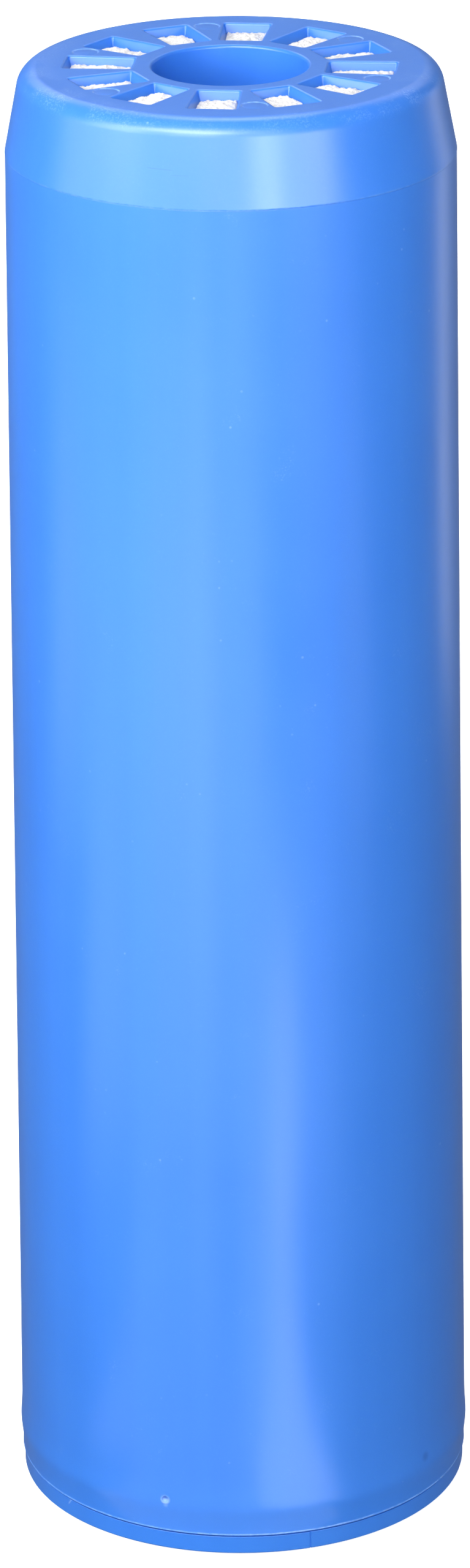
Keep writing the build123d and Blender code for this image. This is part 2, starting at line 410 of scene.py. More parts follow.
def plastic(name, kind):
    """Moulded blue polypropylene. kind: tube, cap or foot."""
    t = Tree(name)
    t.set(IOR=1.49)
    t.bsdf.inputs["Subsurface Weight"].default_value = 0.12
    t.bsdf.inputs["Subsurface Radius"].default_value = (0.25, 0.5, 1.0)
    t.bsdf.inputs["Subsurface Scale"].default_value = 0.0018
    x, y, z = t.xyz()
    # tone: slow clouds and flow lines that run along the mould's draw
    cloud = t.noise(t.coord, 38.0, 3.0)
    streak = t.noise(t.scale(t.coord, (1.0, 1.0, 0.012)), 190.0, 1.5, 0.5)
    tone = t.math("ADD", t.math("MULTIPLY", cloud, 0.55), t.math("MULTIPLY", streak, 0.45))
    col = t.mix(t.remap(tone, 0.30, 0.70, 0.0, 1.0), BLUE_DEEP, BLUE)
    # fine pigment grain
    grain = t.noise(t.coord, 2600.0, 1.0)
    col = t.mix(t.remap(grain, 0.62, 0.80, 0.0, 0.16), col, BLUE_PALE)
    rough = t.remap(t.math("ADD", t.math("MULTIPLY", cloud, 0.5), t.math("MULTIPLY", streak, 0.5)), 0.35, 0.65, 0.285, 0.335)
    # radius from the axis
    rad = t.math("SQRT", t.math("ADD", t.math("MULTIPLY", x, x), t.math("MULTIPLY", y, y)))

    def near(a_deg, r_mm, z_mm, r0, r1):
        """1 inside r0, 0 outside r1 (mm), round a point on the wall at a camera-side angle."""
        p = plan(a_deg)
        n = t.node("ShaderNodeVectorMath", operation="DISTANCE")
        t.link(t.coord, n.inputs[0])
        n.inputs[1].default_value = (r_mm * MM * math.cos(p), r_mm * MM * math.sin(p), z_mm * MM)
        return t.remap(n.outputs["Value"], r0 * MM, r1 * MM, 1.0, 0.0, True)

    def stroke(a_deg, z_mm, half_len, half_wid, slope):
        """A short stroke on the wall at a camera-side angle, along the girth, in mm."""
        p = plan(a_deg)
        tan = t.math("ADD", t.math("MULTIPLY", x, -math.sin(p)), t.math("MULTIPLY", y, math.cos(p)))
        out = t.math("ADD", t.math("MULTIPLY", x, math.cos(p)), t.math("MULTIPLY", y, math.sin(p)))
        off = t.math("ABSOLUTE", t.math("SUBTRACT", t.math("SUBTRACT", z, z_mm * MM), t.math("MULTIPLY", tan, slope)))
        m = t.remap(off, half_wid * 0.4 * MM, half_wid * MM, 1.0, 0.0, True)
        m = t.math("MULTIPLY", m, t.remap(t.math("ABSOLUTE", tan), half_len * 0.6 * MM, half_len * MM, 1.0, 0.0, True))
        return t.math("MULTIPLY", m, t.math("GREATER_THAN", out, 0.0))

    # handling scuffs: pale dull flecks, thick near the rim of the flat end and thin elsewhere
    patch = t.noise(t.coord, 130.0, 4.0, 0.62)
    fleck = t.noise(t.coord, 900.0, 3.0, 0.65)
    fine = t.noise(t.coord, 3000.0, 3.0, 0.75)
    vor = t.node("ShaderNodeTexVoronoi", feature="F1")
    t.link(t.coord, vor.inputs["Vector"])
    vor.inputs["Scale"].default_value = 540.0
    pick = t.node("ShaderNodeSeparateColor")
    t.link(vor.outputs["Color"], pick.inputs[0])
    speck = t.math("MULTIPLY", t.remap(vor.outputs["Distance"], 0.07, 0.15, 1.0, 0.0, True), t.math("GREATER_THAN", pick.outputs[0], 0.80))
    if kind == "cap":
        rim = t.math(
            "MULTIPLY",
            t.remap(rad, 0.0268, 0.0302, 0.0, 1.0, True),
            t.remap(z, 0.2450, 0.2467, 0.0, 1.0, True),
        )
        side = t.remap(t.math("ABSOLUTE", x), 0.006, 0.028, 0.30, 1.0)
        face = t.remap(z, 0.2466, 0.2474, 0.0, 1.0)
        scuff_and_highlight = t.math(
            "MULTIPLY",
            t.math("MULTIPLY", t.remap(patch, 0.41, 0.57, 0.0, 1.0, True), t.remap(fine, 0.49, 0.64, 0.0, 1.0, True)),
            t.math("MULTIPLY", side, t.remap(rim, 0.0, 1.0, 0.03, 0.50)),
        )
        graze = t.math(
            "MULTIPLY",
            t.math("MULTIPLY", t.remap(patch, 0.56, 0.68, 0.0, 1.0, True), t.remap(fleck, 0.52, 0.66, 0.0, 1.0, True)),
            t.remap(rim, 0.0, 1.0, 0.015, 0.26),
        )
        dots = t.math("MULTIPLY", speck, t.math("MAXIMUM", t.math("MULTIPLY", rim, t.remap(patch, 0.42, 0.58, 0.08, 0.55)), t.math("MULTIPLY", face, 0.22)))
        # the moulded witness rings keep a pale edge
        sector = math.pi / 3
        th_ = t.math("ADD", t.math("ARCTAN2", y, x), 2 * math.pi - math.pi / 4 + sector / 2)
        fold = t.math("SUBTRACT", t.math("MODULO", th_, sector), sector / 2)
        du = t.math("SUBTRACT", t.math("MULTIPLY", rad, t.math("COSINE", fold)), 0.025)
        dv = t.math("MULTIPLY", rad, t.math("SINE", fold))
        dr = t.math("SQRT", t.math("ADD", t.math("MULTIPLY", du, du), t.math("MULTIPLY", dv, dv)))
        ring = t.remap(t.math("ABSOLUTE", t.math("SUBTRACT", dr, 0.00208)), 0.00006, 0.00026, 1.0, 0.0, True)
        ring = t.math("MULTIPLY", t.math("MULTIPLY", ring, face), t.remap(fleck, 0.42, 0.62, 0.04, 0.60))
        # painted highlight: a pale line along the cap's lower lip at the upper seam
        lip_highlight = t.math("MULTIPLY", t.remap(z, (Z2 + 0.14) * MM, (Z2 + 0.36) * MM, 1.0, 0.0, True), t.remap(fleck, 0.38, 0.62, 0.0, 0.18))
        scuff_and_highlight = t.math("MAXIMUM", t.math("MAXIMUM", scuff_and_highlight, graze), t.math("MAXIMUM", t.math("MAXIMUM", dots, ring), lip_highlight))
        marks_ = t.math("MAXIMUM", stroke(-18.4, 239.9, 2.6, 0.13, -0.03), t.math("MULTIPLY", stroke(-13.0, 239.1, 1.7, 0.10, 0.02), 0.7))
        col = t.mix(t.math("MULTIPLY", marks_, 0.30), col, (0.020, 0.120, 0.520, 1.0))
    else:
        scuff_and_highlight = t.math(
            "MULTIPLY",
            t.math("MULTIPLY", t.remap(patch, 0.60, 0.74, 0.0, 1.0, True), t.remap(fine, 0.54, 0.68, 0.0, 1.0, True)),
            0.22,
        )
        dots = t.math("MULTIPLY", speck, t.remap(patch, 0.52, 0.64, 0.0, 0.34, True))
        scuff_and_highlight = t.math("MAXIMUM", scuff_and_highlight, dots)
        if kind == "tube":
            # painted highlight along the lip at the lower edge, and painted highlight round the gate mark's lower rim
            lip_highlight = t.math("MULTIPLY", t.remap(z, (Z1 + 0.26) * MM, (Z1 + 0.44) * MM, 1.0, 0.0, True), t.remap(fleck, 0.34, 0.60, 0.06, 0.40))
            # painted highlight on the lower rim of the gate pit, stronger towards its bottom, and a pale painted
            # highlight just below the pit
            outer_ = near(-20.25, 38.35, 9.45, 0.62, 1.02)
            core = near(-20.25, 38.35, 9.62, 0.30, 0.58)
            gate_rim_highlight = t.math("MULTIPLY", t.math("SUBTRACT", outer_, t.math("MULTIPLY", core, 0.85)), t.remap(z, 0.0086, 0.0104, 0.85, 0.30))
            gate_tail_highlight = t.math("MULTIPLY", near(-20.15, 38.38, 8.45, 0.10, 0.60), 0.34)
            scuff_and_highlight = t.math("MAXIMUM", t.math("MAXIMUM", scuff_and_highlight, lip_highlight), t.math("MAXIMUM", gate_rim_highlight, gate_tail_highlight))
            spot = t.math("MULTIPLY", near(53.5, 38.35, 10.25, 0.20, 1.25), 0.45)
            col = t.mix(spot, col, (0.016, 0.085, 0.400, 1.0))
        else:
            p_ = plan(-51.5)
            tan_ = t.math("ADD", t.math("MULTIPLY", x, -math.sin(p_)), t.math("MULTIPLY", y, math.cos(p_)))
            slant = t.math("ABSOLUTE", t.math("SUBTRACT", tan_, t.math("MULTIPLY", t.math("SUBTRACT", z, 0.0027), 0.7)))
            nick = t.math("MULTIPLY", t.remap(slant, 0.00008, 0.00024, 1.0, 0.0, True), t.remap(z, 0.0020, 0.0024, 0.0, 0.5, True))
            nick = t.math("MULTIPLY", nick, t.math("LESS_THAN", y, 0.0))
            scuff_and_highlight = t.math("MAXIMUM", scuff_and_highlight, nick)
    # pale scuffs are mixed in here; on the tube and cap the same mix also paints highlights on the seam lips and the
    # gate pit
    col = t.mix(t.math("MULTIPLY", scuff_and_highlight, 0.60), col, (0.42, 0.62, 0.95, 1.0))
    rough = t.math("ADD", rough, t.math("MULTIPLY", scuff_and_highlight, 0.25), clamp=True)
    t.link(col, t.bsdf.inputs["Base Color"])
    t.link(rough, t.bsdf.inputs["Roughness"])
    # surface: slow sink waves, draw lines, orange peel
    wave = t.noise(t.scale(t.coord, (1.0, 1.0, 0.10)), 55.0, 2.0)
    n1 = t.bump(wave, 0.00018, 0.5)
    n2 = t.bump(streak, 0.000022, 0.5, n1)
    peel = t.noise(t.coord, 700.0, 2.0)
    n3 = t.bump(peel, 0.000020, 0.55, n2)
    n4 = t.bump(fleck, 0.000022, 0.5, n3)
    t.link(n4 if kind == "cap" else n3, t.bsdf.inputs["Normal"])
    return t.mat


def felt_mat(name):
    t = Tree(name)
    t.set(Roughness=0.9)
    t.bsdf.inputs["Sheen Weight"].default_value = 0.35
    t.bsdf.inputs["Sheen Roughness"].default_value = 0.5
    t.bsdf.inputs["Subsurface Weight"].default_value = 0.25
    t.bsdf.inputs["Subsurface Radius"].default_value = (1.0, 0.95, 0.9)
    t.bsdf.inputs["Subsurface Scale"].default_value = 0.0006
    fib = t.noise(t.coord, 2400.0, 4.0, 0.65, 1.2)
    lump = t.noise(t.coord, 650.0, 3.0)
    v = t.math("ADD", t.math("MULTIPLY", fib, 0.6), t.math("MULTIPLY", lump, 0.4))
    t.link(t.mix(t.remap(v, 0.36, 0.60, 0.0, 1.0), (0.62, 0.60, 0.60, 1.0), (0.90, 0.885, 0.875, 1.0)), t.bsdf.inputs["Base Color"])
    n = t.bump(lump, 0.00035, 0.6)
    t.link(t.bump(fib, 0.00018, 0.8, n), t.bsdf.inputs["Normal"])
    return t.mat


def foam_mat():
    t = Tree("open_cell_foam")
    t.set(Roughness=0.95)
    pore = t.voronoi(t.coord, 1500.0)
    big = t.voronoi(t.coord, 620.0)
    v = t.math("ADD", t.math("MULTIPLY", pore, 0.6), t.math("MULTIPLY", big, 0.4))
    t.link(t.mix(t.remap(v, 0.1, 0.6, 0.0, 1.0), (0.012, 0.012, 0.014, 1.0), (0.10, 0.10, 0.11, 1.0)), t.bsdf.inputs["Base Color"])
    t.link(t.bump(v, 0.0006, 0.9), t.bsdf.inputs["Normal"])
    return t.mat


def carbon_mat():
    t = Tree("granular_carbon")
    x = t.voronoi(t.coord, 900.0, out="Color")
    edge = t.voronoi(t.coord, 900.0, feature="DISTANCE_TO_EDGE")
    fine = t.noise(t.coord, 3500.0, 4.0)
    sep = t.node("ShaderNodeSeparateColor")
    t.link(x, sep.inputs[0])
    v = t.math("ADD", t.math("MULTIPLY", sep.outputs[0], 0.6), t.math("MULTIPLY", fine, 0.4))
    t.link(t.mix(t.remap(v, 0.2, 0.8, 0.0, 1.0), (0.006, 0.006, 0.007, 1.0), (0.040, 0.040, 0.043, 1.0)), t.bsdf.inputs["Base Color"])
    t.link(t.remap(v, 0.2, 0.8, 0.42, 0.85), t.bsdf.inputs["Roughness"])
    h = t.math("ADD", t.math("MULTIPLY", t.remap(edge, 0.0, 0.25, 0.0, 1.0), 0.8), t.math("MULTIPLY", fine, 0.3))
    t.link(t.bump(h, 0.0005, 0.9), t.bsdf.inputs["Normal"])
    return t.mat


def rubber_mat():
    t = Tree("gasket_rubber")
    fine = t.noise(t.coord, 1800.0, 3.0)
    cloud = t.noise(t.coord, 90.0, 3.0)
    dust = t.noise(t.coord, 700.0, 4.0, 0.7)
    col = t.mix(t.remap(cloud, 0.35, 0.65, 0.0, 1.0), (0.012, 0.012, 0.013, 1.0), (0.030, 0.030, 0.032, 1.0))
    col = t.mix(t.remap(dust, 0.58, 0.74, 0.0, 0.30), col, (0.16, 0.16, 0.17, 1.0))
    t.link(col, t.bsdf.inputs["Base Color"])
    t.link(t.remap(cloud, 0.35, 0.65, 0.52, 0.70), t.bsdf.inputs["Roughness"])
    t.link(t.bump(fine, 0.00006, 0.6), t.bsdf.inputs["Normal"])
    return t.mat


def grid_mat():
    t = Tree("natural_polypropylene")
    t.set(IOR=1.49)
    t.bsdf.inputs["Subsurface Weight"].default_value = 0.3
    t.bsdf.inputs["Subsurface Radius"].default_value = (1.0, 0.95, 0.85)
    t.bsdf.inputs["Subsurface Scale"].default_value = 0.002
    cloud = t.noise(t.coord, 80.0, 3.0)
    grain = t.noise(t.coord, 1400.0, 2.0)
    t.link(t.mix(t.remap(cloud, 0.35, 0.65, 0.0, 1.0), (0.70, 0.71, 0.70, 1.0), (0.80, 0.81, 0.80, 1.0)), t.bsdf.inputs["Base Color"])
    t.link(t.remap(cloud, 0.35, 0.65, 0.36, 0.48), t.bsdf.inputs["Roughness"])
    t.link(t.bump(grain, 0.00003, 0.6), t.bsdf.inputs["Normal"])
    return t.mat


M_TUBE = plastic("moulded_blue_tube", "tube")
M_CAP = plastic("moulded_blue_cap", "cap")
M_FOOT = plastic("moulded_blue_foot", "foot")
M_FELT = felt_mat("white_felt")
M_FELT2 = felt_mat("white_felt_outlet")
M_FOAM = foam_mat()
M_CARBON = carbon_mat()
M_RUBBER = rubber_mat()
M_GRID = grid_mat()

# ----------------------------------------------------------------------------
# canister wall
# ----------------------------------------------------------------------------


def smooth_swell(z):
    """Extra radius, over the plain taper, of the foot's slight swell."""
    # swell centred at z 8.3, blended to the straight foot below
    s = 0.19 * math.exp(-(((z - 8.4) / 2.6) ** 2))
    t = max(0.0, min(1.0, (z - Z1) / 5.0))
    t = t * t * (3 - 2 * t)
    base = tube_out(z) + GROW + s
    return (R_FOOT - 0.02 + GROW) * (1 - t) + base * t


outer = []
LIP_R = R_FOOT - 0.02 + GROW
for dz, dr in ((0.02, 0.015), (0.06, 0.055), (0.12, 0.08), (0.18, 0.07), (0.25, 0.03), (0.34, 0.005)):
    outer.append((LIP_R + dr, Z1 + dz))
for z in list(np.linspace(Z1 + 0.62, 14.0, 34)):
    outer.append((smooth_swell(z), z))
for z in np.linspace(16.0, Z2 - 0.14, 100):
    outer.append((tube_out(z) + GROW, z))
top_edge = arc(tube_out(Z2) + GROW - 0.07, Z2 - 0.07, 0.07, 0, 90, 4)
inner = [(tube_in(Z2), Z2)] + [(tube_in(z), z) for z in np.linspace(Z2 - 3, Z1 + 3, 30)] + [(tube_in(Z1), Z1)]
tube_prof = outer + top_edge + inner + [(R_FOOT - 0.55, Z1), (R_FOOT - 0.10, Z1)]
ang = angles_with(360)
V, F = lathe_grid(tube_prof, ang)
# the lip is flash from the mould, so it waxes and wanes round the wall
rr = np.hypot(V[:, 0], V[:, 1])
near = (V[:, 2] < Z1 + 0.5) & (rr > LIP_R + 0.001)
nse = vnoise(V * 0.55 + 4.0) * 0.6 + vnoise(V * 1.7 + 8.0) * 0.4
keep_r = np.where(near, LIP_R + (rr - LIP_R) * np.clip(0.35 + 1.15 * nse, 0.4, 1.3), rr)
V[:, 0] *= keep_r / rr
V[:, 1] *= keep_r / rr
V[:, 2] += np.where(near & (V[:, 2] > Z1 + 0.05), 0.10 * (nse - 0.5), 0.0)
wall = obj_from("canister_wall", V, F)
fix_normals(wall)
# the round gate mark low on the wall
pa = plan(-20.25)
pit_prof = [(0, -0.46), (0.26, -0.44), (0.44, -0.34), (0.54, -0.18), (0.58, -0.02), (0.60, 0.12), (0.62, 1.2), (0, 1.2)]
PV, PF = solid_lathe(pit_prof, angles_with(28))
R_PIT = smooth_swell(9.5)
ex = np.array([math.cos(pa), math.sin(pa), 0.0])
ey = np.array([-math.sin(pa), math.cos(pa), 0.0])
ez = np.array([0.0, 0.0, 1.0])
PV2 = ex[None] * (PV[:, 2:3] + R_PIT) + ey[None] * PV[:, 0:1] + ez[None] * (PV[:, 1:2] + 9.5)
pit = obj_from("pit", PV2, PF)
fix_normals(pit)
BV, BF = lathe_grid([(0.50, -0.30), (1.02, -0.30), (0.98, 0.00), (0.90, 0.055), (0.80, 0.085), (0.70, 0.09), (0.60, 0.06), (0.50, -0.02)], angles_with(28))
low = np.clip(0.62 - 0.55 * BV[:, 1], 0.25, 1.5)                 # the burr stands highest below the pit
BV[:, 2] = np.where(BV[:, 2] > 0, BV[:, 2] * low, BV[:, 2])
BV2 = ex[None] * (BV[:, 2:3] + R_PIT) + ey[None] * BV[:, 0:1] + ez[None] * (BV[:, 1:2] + 9.5)
burr = obj_from("burr", BV2, BF)
fix_normals(burr)
boolean(wall, burr, "UNION")
boolean(wall, pit)
tidy(wall)
shade(wall, 40)
weighted(wall)
finish_piece(wall, "canister_tube", M_TUBE)

# ----------------------------------------------------------------------------
# inlet cap
# ----------------------------------------------------------------------------
CONE = math.tan(math.radians(10.6))


def cap_out(z):
    return R_TOP + GROW - (z - Z2) * CONE


poly = [
    (CUP_R, H),
    (cap_out(H), H),
    (R_TOP + GROW + 0.035, Z2 + 0.26),
    (R_TOP + GROW + 0.040, Z2 + 0.13),
    (R_TOP + GROW + 0.035, Z2),
    (tube_in(Z2) - 0.06, Z2),
    (tube_in(Z2 - 8) - 0.25, Z2 - 8),
    (tube_in(Z2 - 8) - 1.70, Z2 - 8),
    (tube_in(Z2) - 1.66, Z2 - 0.5),
    (cap_out(H - PLATE) - 2.1, H - PLATE),
    (CUP_R + 1.6, H - PLATE),
    (CUP_R + 1.6, H - 23.6),
    (0.0, H - 23.6),
    (0.0, H - 22.0),
    (CUP_R, H - 22.0),
]
rad_c = [0.55, 3.4, 0.2, 0.05, 0.05, 0, 0.3, 0.3, 0, 0.8, 0.5, 0.8, 0, 0, 0.9]
seg_n = {0: 8, 1: 16}
full = []
for i in range(len(poly)):
    one = rounded([poly[i - 1], poly[i], poly[(i + 1) % len(poly)]], [0, rad_c[i], 0], seg_n.get(i, 4))
    full += one[1:-1] if rad_c[i] > 0 else [poly[i]]
# split into the run that starts on the axis (cup floor) and ends on the axis (cup underside)
k0 = full.index((0.0, H - 22.0))
run = full[k0:] + full[:k0]          # cup floor centre, up the cup, over the top, down outside, back to the underside centre
run = dense(run, 6.0, closed=False)
CAP_ANG = angles_with(240)
V, F = solid_lathe(run, CAP_ANG)
cap = obj_from("inlet_cap_shell", V, F)
fix_normals(cap)


def slot_outline(off, corner=0.35, n=4):
    """Slot outline at +X, grown by off on every side, counter-clockwise."""
    a = math.atan2((7.6 - 6.7) / 2, 26.5 - 15.7)
    gi = off / math.cos(a)
    r0, r1 = 15.7 - off, 26.5 + off
    w0 = 6.7 / 2 + gi - off * math.tan(a)
    w1 = 7.6 / 2 + gi + off * math.tan(a)
    c = max(0.12, corner + off)
    return rounded([(r0, -w0), (r1, -w1), (r1, w1), (r0, w0)], [c] * 4, n)


RF = 0.42
levels = [(H + 1.0, RF), (H - 0.006, RF)]
for d in np.linspace(0.0, 1.0, 7)[1:]:
    depth = RF * d
    levels.append((H - depth, RF - math.sqrt(max(0.0, RF * RF - (RF - depth) ** 2))))
for d in (1.0, 1.7, 2.2, 3.2):
    levels.append((H - d, -0.26 * (d - RF)))
cutV, cutF = [], []
for s in range(12):
    th = s * math.pi / 6
    c, sn = math.cos(th), math.sin(th)
    base = len(cutV)
    m = None
    for z, off in levels:
        o = slot_outline(off)
        m = len(o)
        for r, w in o:
            cutV.append((r * c - w * sn, r * sn + w * c, z))
    nl = len(levels)
    for i in range(nl - 1):
        for j in range(m):
            k = (j + 1) % m
            cutF.append((base + i * m + j, base + (i + 1) * m + j, base + (i + 1) * m + k, base + i * m + k))
    cutF.append(tuple(base + j for j in range(m)))
    cutF.append(tuple(base + (nl - 1) * m + j for j in range(m))[::-1])
cut = obj_from("cut", cutV, cutF)
fix_normals(cut)
boolean(cap, cut)
# witness marks: a shallow round recess with a slightly deeper edge
mk_prof = [(0, -0.05), (1.55, -0.06), (1.85, -0.12), (2.02, -0.13), (2.14, -0.05), (2.24, 0.02), (2.26, 0.5), (0, 0.5)]
mv, mf = solid_lathe(mk_prof, angles_with(40))
allv, allf = [], []
for s in range(6):
    th = math.radians(45 + 60 * s)
    base = len(allv)
    allv += [(x + 25.0 * math.cos(th), y + 25.0 * math.sin(th), z + H) for x, y, z in mv]
    allf += [tuple(base + i for i in f) for f in mf]
marks = obj_from("marks", allv, allf)
fix_normals(marks)
boolean(cap, marks)
shade(cap, 38)
weighted(cap)
finish_piece(cap, "slotted_inlet_cap", M_CAP)

# ----------------------------------------------------------------------------
# inlet felt: swells into each slot, with a fibrous, uneven face
# ----------------------------------------------------------------------------
PU = H - PLATE
rows = [14.25, 14.8] + list(np.arange(15.3, 27.21, 0.16)) + [28.0, 29.6, 31.0]
NF = 840
th = np.arange(NF) * 2 * math.pi / NF
Rg, Tg = np.meshgrid(np.array(rows), th, indexing="ij")
X, Y = Rg * np.cos(Tg), Rg * np.sin(Tg)
tl = (Tg + math.pi / 12) % (math.pi / 6) - math.pi / 12          # angle from the nearest slot's middle
u, w = Rg * np.cos(tl), Rg * np.sin(tl)
half_w = 6.7 / 2 + (u - 15.7) * (0.45 / 10.8) - 0.30
edge_d = np.minimum(np.minimum(u - 15.98, 26.22 - u), half_w - np.abs(w))
inside = np.clip(edge_d / 0.22, 0, 1)
crown = np.clip(edge_d / 2.6, 0, 1)
crown = 1 - (1 - crown) ** 2
P3 = np.stack([X.ravel(), Y.ravel(), np.zeros(X.size)], axis=1)
n1 = vnoise(P3 / 1.9 + 3.1).reshape(X.shape)
n2 = vnoise(P3 / 0.62 + 11.7).reshape(X.shape)
n3 = vnoise(P3 / 0.30 + 23.3).reshape(X.shape)
slot_id = np.floor((Tg + math.pi / 12) / (math.pi / 6)).astype(int) % 12
lift = np.random.default_rng(3).uniform(-0.10, 0.14, 12)[slot_id]
rough_h = 0.34 * (n1 - 0.5) + 0.46 * (n2 - 0.5) + 0.34 * (n3 - 0.5)
Zt = PU - 0.03 + inside * (0.60 + lift * 0.6 + 0.50 * crown + rough_h)
Zt = np.where(inside > 0, Zt, PU - 0.03 - 0.02 * n2)
fv = np.stack([X, Y, Zt], axis=-1).reshape(-1, 3)
nr = len(rows)
ff = []
for i in range(nr - 1):
    for j in range(NF):
        k = (j + 1) % NF
        ff.append((i * NF + j, (i + 1) * NF + j, (i + 1) * NF + k, i * NF + k))
low = [(31.15, PU - 0.8), (31.2, PU - 2.5), (31.1, PU - 4.4), (30.6, PU - 4.95), (14.8, PU - 4.95), (14.2, PU - 4.4), (14.2, PU - 0.6)]
lv = []
for r, z in low:
    wob = 0.05 * (vnoise(np.stack([np.cos(th) * 9, np.sin(th) * 9, np.full(NF, z)], axis=1)) - 0.5)
    for j in range(NF):
        lv.append(((r + wob[j]) * math.cos(th[j]), (r + wob[j]) * math.sin(th[j]), z))
b0 = len(fv)
fv = np.vstack([fv, np.array(lv)])
prev = [(nr - 1) * NF + j for j in range(NF)]
for i in range(len(low)):
    cur = [b0 + i * NF + j for j in range(NF)]
    for j in range(NF):
        k = (j + 1) % NF
        ff.append((prev[j], cur[j], cur[k], prev[k]))
    prev = cur
for j in range(NF):
    k = (j + 1) % NF
    ff.append((prev[j], j, k, prev[k]))
felt = obj_from("inlet_felt", fv, ff)
fix_normals(felt)
shade(felt, 180)
finish_piece(felt, "inlet_felt_pad", M_FELT)

# ----------------------------------------------------------------------------
# foam ring
# ----------------------------------------------------------------------------
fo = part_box("expansion_foam_pad")
z0, z1 = fo[0].z * 1000, fo[1].z * 1000
foam_prof = rounded([(14.2, z0 + 0.05), (32.3, z0 + 0.05), (32.3, z0 + 5.0), (31.1, z1 - 0.08), (14.2, z1 - 0.08)], [1.0, 1.0, 0.5, 0.9, 0.9], 4)
foam_prof = dense(foam_prof, 0.9)
V, F = lathe_grid(foam_prof, angles_with(220))
f1, f2 = cells(V / 2.1, 5)
cen = np.stack([V[:, 0] / np.hypot(V[:, 0], V[:, 1]) * 23, V[:, 1] / np.hypot(V[:, 0], V[:, 1]) * 23, np.full(len(V), (z0 + z1) / 2)], axis=1)
dirn = V - cen
dirn /= np.linalg.norm(dirn, axis=1)[:, None]
V = V - dirn * (np.clip(0.75 - f1, 0, 0.5) * 0.75)[:, None]
foam = obj_from("media_foam", V, F)
fix_normals(foam)
shade(foam, 180)
finish_piece(foam, "expansion_foam_pad", M_FOAM)

# ----------------------------------------------------------------------------
# carbon bed: a packed column with a grainy face
# ----------------------------------------------------------------------------
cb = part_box("carbon_bed")
z0, z1 = cb[0].z * 1000, cb[1].z * 1000
zc = H - 23.6
bed = [(0, z0 + 0.3), (36.0 - 0.6, z0 + 0.3), (tube_in(z0 + 2) - 0.12, z0 + 1.2), (tube_in(Z2 - 8) - 0.12, Z2 - 8.6), (32.2, Z2 - 8.5), (32.2, z1 - 0.3), (14.4, z1 - 0.3), (14.4, zc - 0.2), (0, zc - 0.2)]
bed = dense(bed, 1.35, closed=False)
V, F = solid_lathe(bed, angles_with(176))
f1, f2 = cells(V / 1.7, 9)
inner_c = np.stack([V[:, 0] * 0.5, V[:, 1] * 0.5, np.clip(V[:, 2], z0 + 20, zc - 20)], axis=1)
dirn = V - inner_c
dirn /= np.maximum(np.linalg.norm(dirn, axis=1), 1e-6)[:, None]
V = V - dirn * (np.clip(f1, 0, 0.9) * 0.55)[:, None]
bedo = obj_from("media_bed", V, F)
fix_normals(bedo)
shade(bedo, 50)
finish_piece(bedo, "carbon_bed", M_CARBON)

# ----------------------------------------------------------------------------
# outlet felt disc
# ----------------------------------------------------------------------------
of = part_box("outlet_felt_pad")
z0, z1 = of[0].z * 1000, of[1].z * 1000
ofp = rounded([(0.001, z0 + 0.02), (35.85, z0 + 0.02), (35.85, z1 - 0.02), (0.001, z1 - 0.02)], [0, 0.8, 0.8, 0], 4)
ofp = [(0, z0 + 0.02)] + ofp[1:-1] + [(0, z1 - 0.02)]
ofp = dense(ofp, 0.7, closed=False)
V, F = solid_lathe(ofp, angles_with(300))
rn = 0.16 * (vnoise(V / 0.9 + 5) - 0.5) + 0.12 * (vnoise(V / 0.4 + 9) - 0.5)
flat_b = V[:, 2] < z0 + 0.1
V[:, 2] += np.where(flat_b, np.abs(rn), -np.abs(rn))
ofo = obj_from("outlet_felt", V, F)
fix_normals(ofo)
shade(ofo, 60)
finish_piece(ofo, "outlet_felt_pad", M_FELT2)

# ----------------------------------------------------------------------------
# outlet cap: foot ring, skirt, recessed face, gasket seat and neck
# ----------------------------------------------------------------------------
ti1, ti2 = tube_in(Z1) - 0.06, tube_in(15.5) - 0.06
op = [
    (34.6, 0.0),
    (R_FOOT - 0.06, 0.0),
    (R_FOOT - 0.06, Z1 - 0.32),
    (R_FOOT - 0.62, Z1 - 0.26),
    (R_FOOT - 0.62, Z1),
    (ti1, Z1),
    (ti2 - 0.1, 15.1),
    (ti2 - 0.5, 15.5),
    (ti2 - 1.8, 15.5),
    (ti2 - 1.8, 3.6),
    (25.4, 3.6),
    (25.4, 5.8),
    (14.7, 5.8),
    (14.7, 15.5),
    (12.7, 15.5),
    (12.7, 3.6),
    (23.4, 3.6),
    (23.4, 1.2),
    (34.1, 1.2),
]
orad = [0.3, 0.38, 0.09, 0.04, 0, 0, 0.1, 0.1, 0.2, 0.4, 0.3, 0.4, 0.4, 0.2, 0.3, 0.3, 0.15, 0.25, 0.25]
oprof = rounded(op, orad, 5)
oprof = dense(oprof, 4.0)
pl = plan(17.0)
px = [pl + math.radians(k) for k in (-0.34, -0.22, -0.12, 0.0, 0.12, 0.22, 0.34)]
oang = angles_with(240, px)
V, F = lathe_grid(oprof, oang)
# the mould's parting line down the outside of the foot band
rr = np.hypot(V[:, 0], V[:, 1])
tt = np.arctan2(V[:, 1], V[:, 0])
dt = np.abs((tt - pl + math.pi) % (2 * math.pi) - math.pi)
on = (rr > R_FOOT - 0.5) & (V[:, 2] < Z1 + 0.01)
dent = np.where(on, 0.16 * np.clip(1 - dt / math.radians(0.24), 0, 1), 0.0)
V[:, 0] *= (rr - dent) / rr
V[:, 1] *= (rr - dent) / rr
foot = obj_from("outlet_cap_shell", V, F)
fix_normals(foot)
